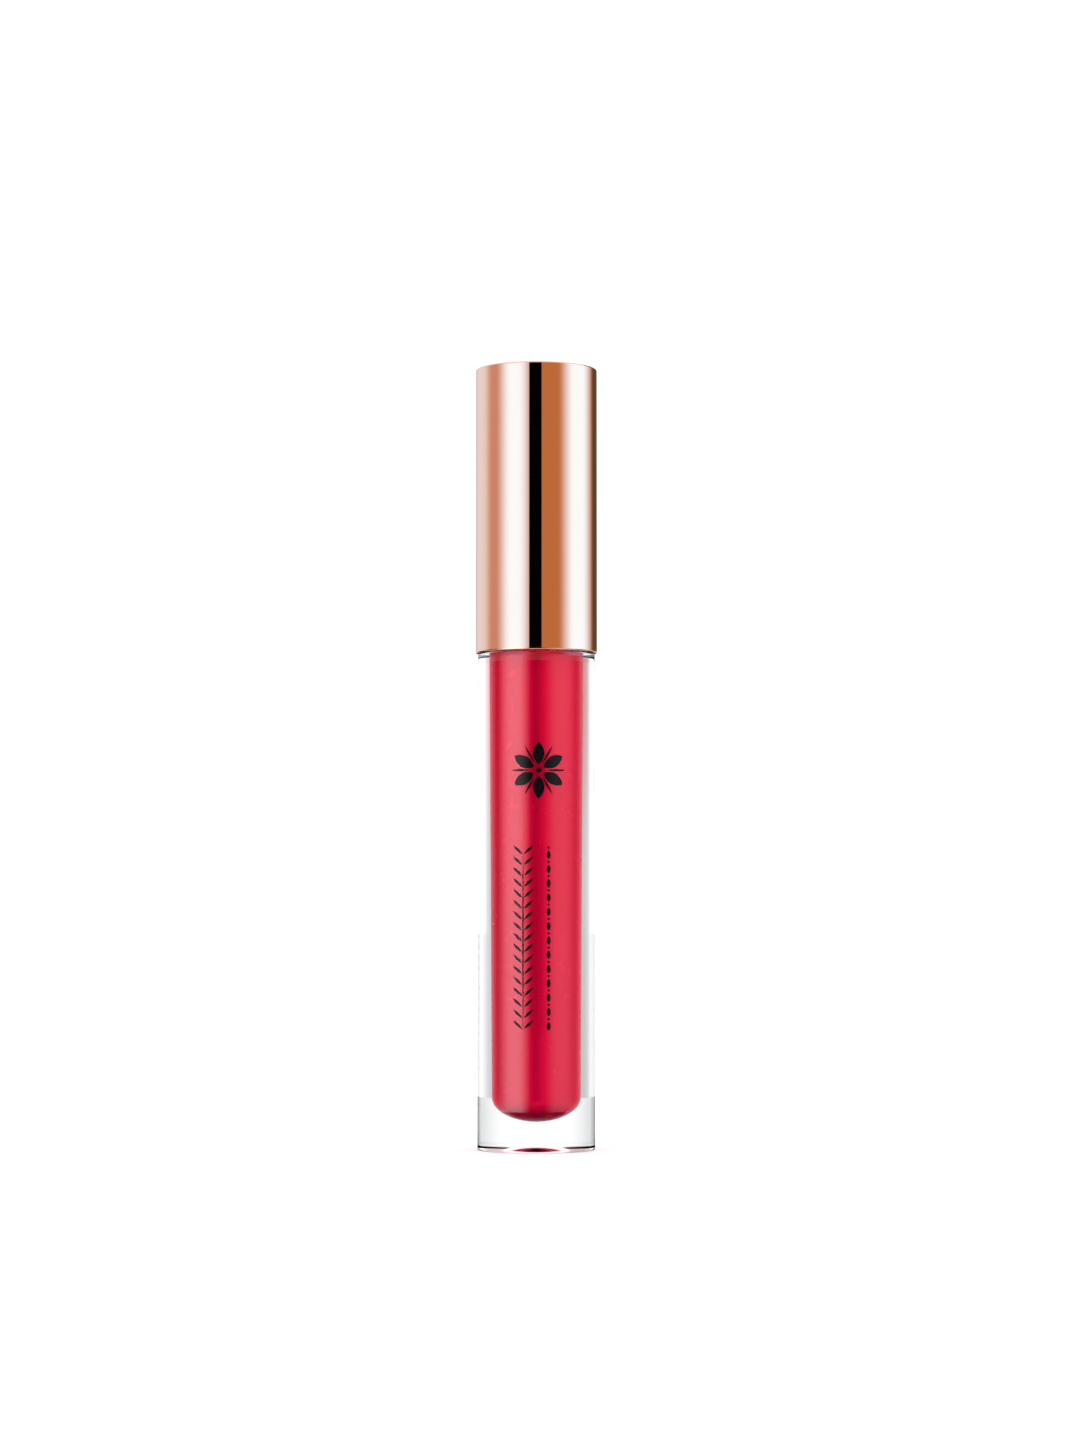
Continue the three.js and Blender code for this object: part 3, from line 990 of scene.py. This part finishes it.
# Each card spans two bearings, in degrees from the camera's side towards +X, and fades in and
# out over so many degrees. Nearer cards cover farther ones. The upper row is what the cap
# mirrors and the lower row what the tube's wall mirrors; only the lamps light what is matt.
card_bottom = -180 * mm
wing_bottom = -15 * mm
row_split = 106 * mm
card_top = 460 * mm
upper_row = (row_split, card_top)
lower_row = (card_bottom, row_split)
lit_row = (-18 * mm, row_split)
above_table = (wing_bottom, row_split)
full_height = (card_bottom, card_top)
lamp_height = (30 * mm, card_top)
wing_height = (wing_bottom, card_top)
below_table = (card_bottom, wing_bottom)
cool_white = (1.06, 2.08, 3.1)
lamp_white = (1.7, 1.7, 1.7)
black = (0.001, 0.001, 0.001)
cards = [
    ("cap_surround", -180, 180, 0.01, 0.01, upper_row, 0.45, (0.66, 0.49, 0.43), "glossy"),
    ("cap_left_rear", -180, -91, 50, 27, upper_row, 0.44, (0.88, 1.22, 1.50), "glossy"),
    ("cap_right_rear", 118, 180, 22, 15, upper_row, 0.44, (0.12, 0.09, 0.04), "glossy"),
    ("cap_copper", -20, 56, 1, 18, upper_row, 0.44, (0.55, 0.31, 0.14), "glossy"),
    ("cap_left_box", -83, -1, 35, 34, upper_row, 0.43, cool_white, "glossy"),
    ("cap_right_box", 43, 132, 33, 36, upper_row, 0.43, cool_white, "glossy"),
    ("cap_flag", -14.5, 11, 2, 2, upper_row, 0.42, black, "glossy"),
    ("tube_surround", -180, 180, 0.01, 0.01, lower_row, 0.45, (0.01, 0.01, 0.01), "glossy"),
    ("tube_left_rear", -180, -100, 10, 20, above_table, 0.44, (0.95, 0.95, 0.95), "glossy"),
    ("tube_right_rear", 100, 180, 20, 10, above_table, 0.44, (0.95, 0.95, 0.95), "glossy"),
    ("tube_left_box", -84, -10, 36, 27, lit_row, 0.43, (3.4, 3.2, 3.4), "glossy"),
    ("tube_right_card", 13, 92, 30, 40, lit_row, 0.43, (1.0, 1.0, 1.05), "glossy"),
    ("left_wing", -165, -116, 15, 18, wing_height, 0.43, (0.62, 0.26, 0.27), "transmission"),
    ("right_wing", 114, 165, 28, 15, wing_height, 0.43, (0.98, 0.50, 0.54), "transmission"),
    ("left_base_wing", -165, -85, 40, 1, below_table, 0.43, (0.85, 0.85, 0.86), "transmission"),
    ("right_base_wing", 85, 165, 1, 40, below_table, 0.43, (0.87, 0.87, 0.88), "transmission"),
    ("left_lamp", -130, -18, 20, 10, lamp_height, 0.44, lamp_white, "lamp"),
    ("right_lamp", 20, 150, 10, 30, lamp_height, 0.44, lamp_white, "lamp"),
    ("flag", -17, 13, 3, 3, full_height, 0.42, black, "transmission"),
]
low_colours = {"left_wing": (0.56, 0.56, 0.57), "right_wing": (0.68, 0.66, 0.69)}
for name, start, stop, fade_in, fade_out, levels, distance, colour, seen_by in cards:
    steps = max(2, round((stop - start) / 3))
    verts, bearings = [], []
    for i in range(steps + 1):
        bearing = start + (stop - start) * i / steps
        lean = math.radians(bearing)
        for level in levels:
            verts.append((distance * math.sin(lean), -distance * math.cos(lean), level))
            bearings.append(bearing)
    faces = [(2 * i, 2 * i + 1, 2 * i + 3, 2 * i + 2) for i in range(steps)]
    light = card_light(colour, start, stop, fade_in, fade_out, low_colours.get(name))
    card = piece(name, verts, faces, finish(name, light))
    card.data.attributes.new("bearing", "FLOAT", "POINT").data.foreach_set("value", bearings)
    card.visible_camera = False
    card.visible_shadow = False
    card.visible_glossy = seen_by == "glossy"
    card.visible_transmission = seen_by in ("transmission", "lamp")
    card.visible_diffuse = seen_by == "lamp"

# The tube's own shade under the table's top, which shows only through the bottle. Its rim has
# points an eighth of a radian apart.
shade_radius = 8 * mm
shade_z = -0.4 * mm
shade_points = 50
shade_verts = [
    (shade_radius * math.cos(i / 8), shade_radius * math.sin(i / 8), shade_z)
    for i in range(shade_points)
]
dim = card_light((0.05, 0.05, 0.05), -2, 2, 1, 1)
shade_face = tuple(range(shade_points))
under_shade = piece("under_shade", shade_verts, [shade_face], finish("under_shade", dim))
under_shade.visible_camera = False
under_shade.visible_shadow = False
under_shade.visible_glossy = False
under_shade.visible_diffuse = False

# The camera stands below the tube's middle height and looks slightly up.
camera_data = bpy.data.cameras.new("camera")
camera_data.sensor_fit = "VERTICAL"
camera_data.sensor_height = 36
camera_data.lens = 86.6
camera_data.clip_start = 0.01
camera = bpy.data.objects.new("camera", camera_data)
bpy.context.scene.collection.objects.link(camera)
camera_place = Vector((0, -0.527, 0.0357))
camera_aim = Vector((0.56 * mm, 0, 65.1 * mm))
camera.location = camera_place
camera.rotation_euler = (camera_aim - camera_place).to_track_quat("-Z", "Y").to_euler()
bpy.context.scene.camera = camera
bpy.context.scene.view_settings.view_transform = "Standard"
